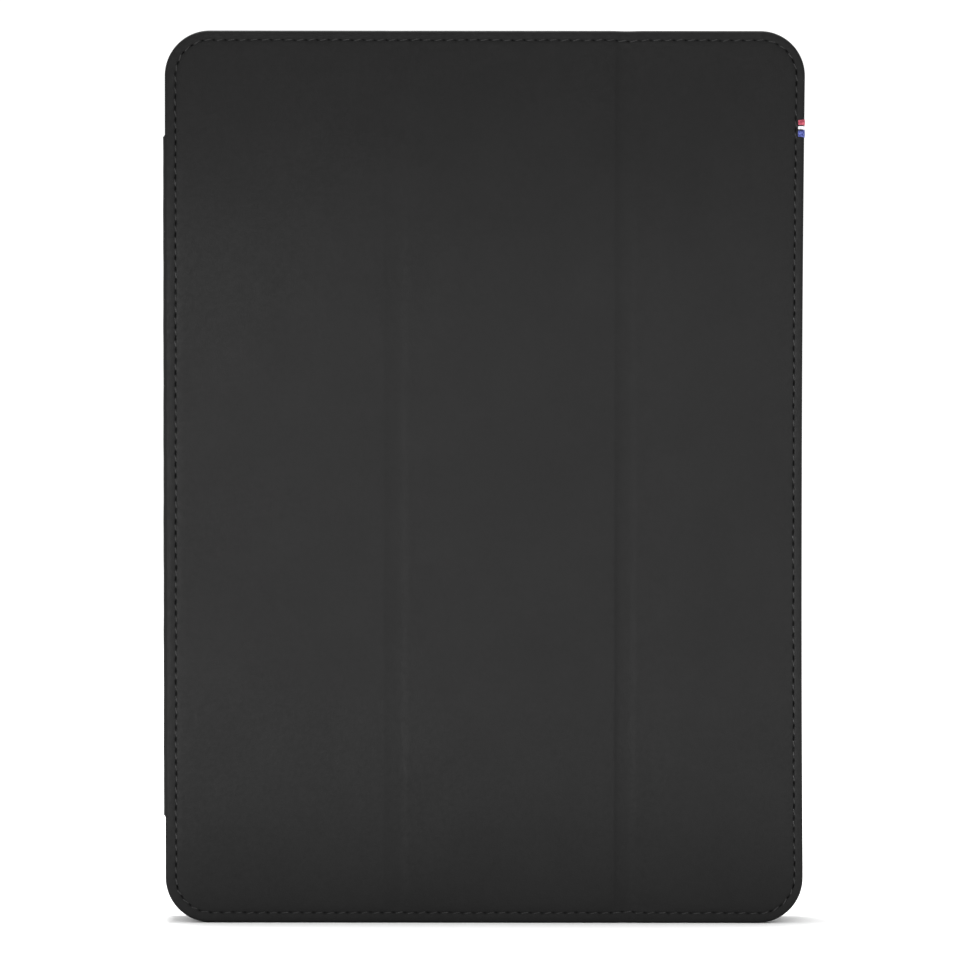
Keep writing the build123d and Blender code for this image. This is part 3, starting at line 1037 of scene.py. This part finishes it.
def tag_look():
    """Three plain stripes, one above another, of thick yarn, with paler flecks mixed in as painted
    highlights on the yarn.
    """
    low, high = box_mm("edge_tag")
    look = Look("woven_tag_stripes", (0.8, 0.8, 0.8), 0.8, True, Sheen_Weight=0.2)
    split = look.add("ShaderNodeSeparateXYZ")
    look.link(look.place, split.inputs["Vector"])
    span = look.add("ShaderNodeMapRange")
    span.inputs["From Min"].default_value = low[2] * MM
    span.inputs["From Max"].default_value = high[2] * MM
    look.link(split.outputs["Z"], span.inputs["Value"])
    dark = [(0.008, 0.012, 0.12), (0.52, 0.52, 0.56), (0.20, 0.008, 0.03)]
    # The pale colours are painted highlights on the yarn, one for each stripe
    painted_highlight_colours = [(0.10, 0.13, 0.42), (0.80, 0.80, 0.82), (0.62, 0.12, 0.16)]
    stripes = []
    for colours in (dark, painted_highlight_colours):
        ramp = look.add("ShaderNodeValToRGB")
        ramp.color_ramp.interpolation = "CONSTANT"
        ramp.color_ramp.elements.new(TAG_STRIPE_ENDS[2])
        for element, place, colour in zip(ramp.color_ramp.elements, TAG_STRIPE_ENDS, colours):
            element.position = place
            element.color = (*colour, 1)
        look.link(span.outputs["Result"], ramp.inputs["Fac"])
        stripes.append(ramp.outputs["Color"])
    # Noise mixes the pale colours in as flecks: painted highlights on the yarn
    painted_highlight_flecks = look.ramp(look.noise(2600.0, 2.0), 0.0, 1.0, 0.42, 0.66)
    mix = look.add("ShaderNodeMix")
    mix.data_type = "RGBA"
    look.link(painted_highlight_flecks, mix.inputs["Factor"])
    look.link(stripes[0], mix.inputs[6])
    look.link(stripes[1], mix.inputs[7])
    look.colour(mix.outputs[2])
    look.bump(look.wave(700.0, "X"), 0.00008, 0.5)
    look.bump(look.wave(900.0, "Z"), 0.00008, 0.5)
    return look.material


# --- The object ---

def dress(piece, material, replaced=()):
    """Gives a new piece its material, and hides the CAD nodes it stands for."""
    piece.data.materials.append(material)
    if replaced:
        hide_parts(*replaced)
    return piece


def bend_at_inner_crease(piece):
    """Writes a piece's placement into its points. Leather before the crease's line would swing back
    into the tray if more of it turned."""
    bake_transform(piece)


def bend_at_outer_crease(piece):
    """Writes a piece's placement into its points. Leather beyond the crease's line has to stay
    flat, as it lies on the back when the case stands."""
    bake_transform(piece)


def bend_at_fold(piece, side):
    """Writes a piece's placement into its points, alike on either side of the spine."""
    if side is FLAP:
        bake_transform(piece)
    else:
        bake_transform(piece)


def bend_flap_pieces(whole, name):
    """Cuts a piece of the whole flap in two at the middle panel, removes the whole, and writes each
    half's placement into its points.
    """
    near = cut_piece(whole, "inner_" + name, MIDDLE_PANEL_CUT, True)
    far = cut_piece(whole, "outer_" + name, MIDDLE_PANEL_CUT, False)
    bpy.data.objects.remove(whole)
    bend_at_inner_crease(near)
    bend_at_outer_crease(far)
    return near, far


cover, STITCH_COUNT = cover_outline()
STITCH_STEP = cover.length / STITCH_COUNT

leather = leather_look()
lining = microfibre_look("lining_microfibre", (0.022, 0.022, 0.023))
thread = thread_look()

near, far = bend_flap_pieces(panel_skin(FLAP, "flap_skin"), "flap_leather")
dress(near, leather, ["inner_panel_leather", "middle_panel_leather"])
dress(far, leather, ["outer_panel_leather"])

back = panel_skin(REAR, "back_panel_leather")
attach(dress(back, leather, ["back_leather"]), "back")

front_fold = dress(fold_skin(FLAP, "spine_front_leather"), leather, ["spine_leather"])
bend_at_fold(front_fold, FLAP)
rear_fold = dress(fold_skin(REAR, "spine_rear_leather"), leather)
bend_at_fold(rear_fold, REAR)

near, far = bend_flap_pieces(flap_lining(), "flap_lining")
dress(near, lining, ["inner_panel_lining", "middle_panel_lining"])
dress(far, lining, ["outer_panel_lining"])
front_lining = fold_lining(FLAP, "spine_front_lining", BOARD_INSET + SPINE_PROUD - 0.02)
bend_at_fold(dress(front_lining, lining, ["spine_lining"]), FLAP)
rear_lining = fold_lining(REAR, "spine_rear_lining", 3.1)
bend_at_fold(dress(rear_lining, lining), REAR)

flap_stitches = stitches_of(FLAP, cover, STITCH_COUNT)
left_stitches = [s for s in flap_stitches if s.middle[0] < MIDDLE_PANEL_CUT]
right_stitches = [s for s in flap_stitches if s.middle[0] >= MIDDLE_PANEL_CUT]
near = thread_mesh("inner_flap_stitching", FLAP, left_stitches)
far = thread_mesh("outer_flap_stitching", FLAP, right_stitches)
dress(near, thread, ["inner_panel_stitching", "middle_panel_stitching"])
dress(far, thread, ["outer_panel_stitching"])
bend_at_inner_crease(near)
bend_at_outer_crease(far)
back_thread = thread_mesh("back_panel_stitching", REAR, stitches_of(REAR, cover, STITCH_COUNT))
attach(dress(back_thread, thread, ["back_stitching"]), "back")

pad = dress(tray_pad(), microfibre_look("pad_microfibre", (0.03, 0.03, 0.032)),
            ["tray_pad"])
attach(pad, "back")
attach(dress(edge_tag(), tag_look(), ["edge_tag"]), "outer_panel")

board = board_look()
magnet = metal_look("magnet_nickel", (0.70, 0.69, 0.66), 0.22, 1.0)
CAD_LOOKS = {
    "inner_panel_board": board,
    "middle_panel_board": board,
    "outer_panel_board": board,
    "spine_board": board,
    "back_board": board,
    "tray": tray_look(),
    "tray_adhesive": adhesive_look(),
    "stand_plates": metal_look("steel_brushed", (0.56, 0.56, 0.58), 0.35, 0.05),
    "closure_magnets": magnet,
    "wake_magnet": magnet,
}
for node, material in CAD_LOOKS.items():
    NODES[node].data.materials[0] = material


# --- Camera, light and floor ---

# The camera looks a little down on the case, from VIEW_DISTANCE, and sees VIEW_WIDTH there.
# The three lights in front are narrow beams, each for one soft-edged band of the face.
VIEW_DISTANCE = 1040.0
VIEW_PITCH = math.radians(1.46)
VIEW_ROLL = math.radians(0.06)
VIEW_WIDTH = 275.8
AIM_X = -1.15
AIM_Z = MIDDLE_Z - 0.54
WORLD_LIGHT = 1.15
BEAM_SPREAD = 7.5
FLOOR_GAP = 0.02
FLOOR_CORNERS = [(-6, -6, 0), (6, -6, 0), (6, 6, 0), (-6, 6, 0)]

camera_data = bpy.data.cameras.new("camera")
camera_data.lens = camera_data.sensor_width * VIEW_DISTANCE / VIEW_WIDTH
camera_data.clip_end = 50.0
camera = bpy.data.objects.new("camera", camera_data)
camera.location = (AIM_X * MM, (FRONT - VIEW_DISTANCE * math.cos(VIEW_PITCH)) * MM,
                   (AIM_Z + VIEW_DISTANCE * math.sin(VIEW_PITCH)) * MM)
camera.rotation_euler = (math.pi / 2 - VIEW_PITCH, -VIEW_ROLL, 0)
scene.collection.objects.link(camera)
scene.camera = camera


def area_light(name, location, target, size, power, spread=180.0):
    """A rectangular light facing a target: metres, watts, and degrees that its beam spreads."""
    data = bpy.data.lights.new(name, "AREA")
    data.shape = "RECTANGLE"
    data.size, data.size_y = size
    data.energy = power
    data.spread = math.radians(spread)
    light = bpy.data.objects.new(name, data)
    light.location = location
    direction = Vector(target) - Vector(location)
    light.rotation_euler = direction.to_track_quat("-Z", "Y").to_euler()
    scene.collection.objects.link(light)


world = bpy.data.worlds.new("studio")
world.use_nodes = True
background = world.node_tree.nodes["Background"]
background.inputs["Color"].default_value = (1, 1, 1, 1)
background.inputs["Strength"].default_value = WORLD_LIGHT
scene.world = world
scene.view_settings.view_transform = "Standard"

area_light("key", (-0.28, -0.78, 0.121), (0, 0, 0.115), (1.6, 0.195), 0.50, BEAM_SPREAD)
area_light("fill", (0.28, -0.78, 0.121), (0, 0, 0.115), (1.6, 0.195), 0.18, BEAM_SPREAD)
area_light("upper", (0, -0.80, 0.281), (0, 0, 0.275), (1.6, 0.12), 0.10, BEAM_SPREAD)
area_light("top", (-0.07, 0.05, 1.6), (-0.07, 0.05, 0), (0.32, 0.14), 24.0)

floor_mesh = bpy.data.meshes.new("floor")
floor_mesh.from_pydata(FLOOR_CORNERS, [], [(0, 1, 2, 3)])
floor = bpy.data.objects.new("floor", floor_mesh)
floor.location = (0, 0, (BOTTOM - FLOOR_GAP) * MM)
scene.collection.objects.link(floor)
floor_look = Look("floor_white", (0.95, 0.95, 0.95), 0.9, False, Specular_IOR_Level=0.1)
floor_look.bump(floor_look.noise(30.0, 2.0), 0.0002, 0.2)
floor_mesh.materials.append(floor_look.material)
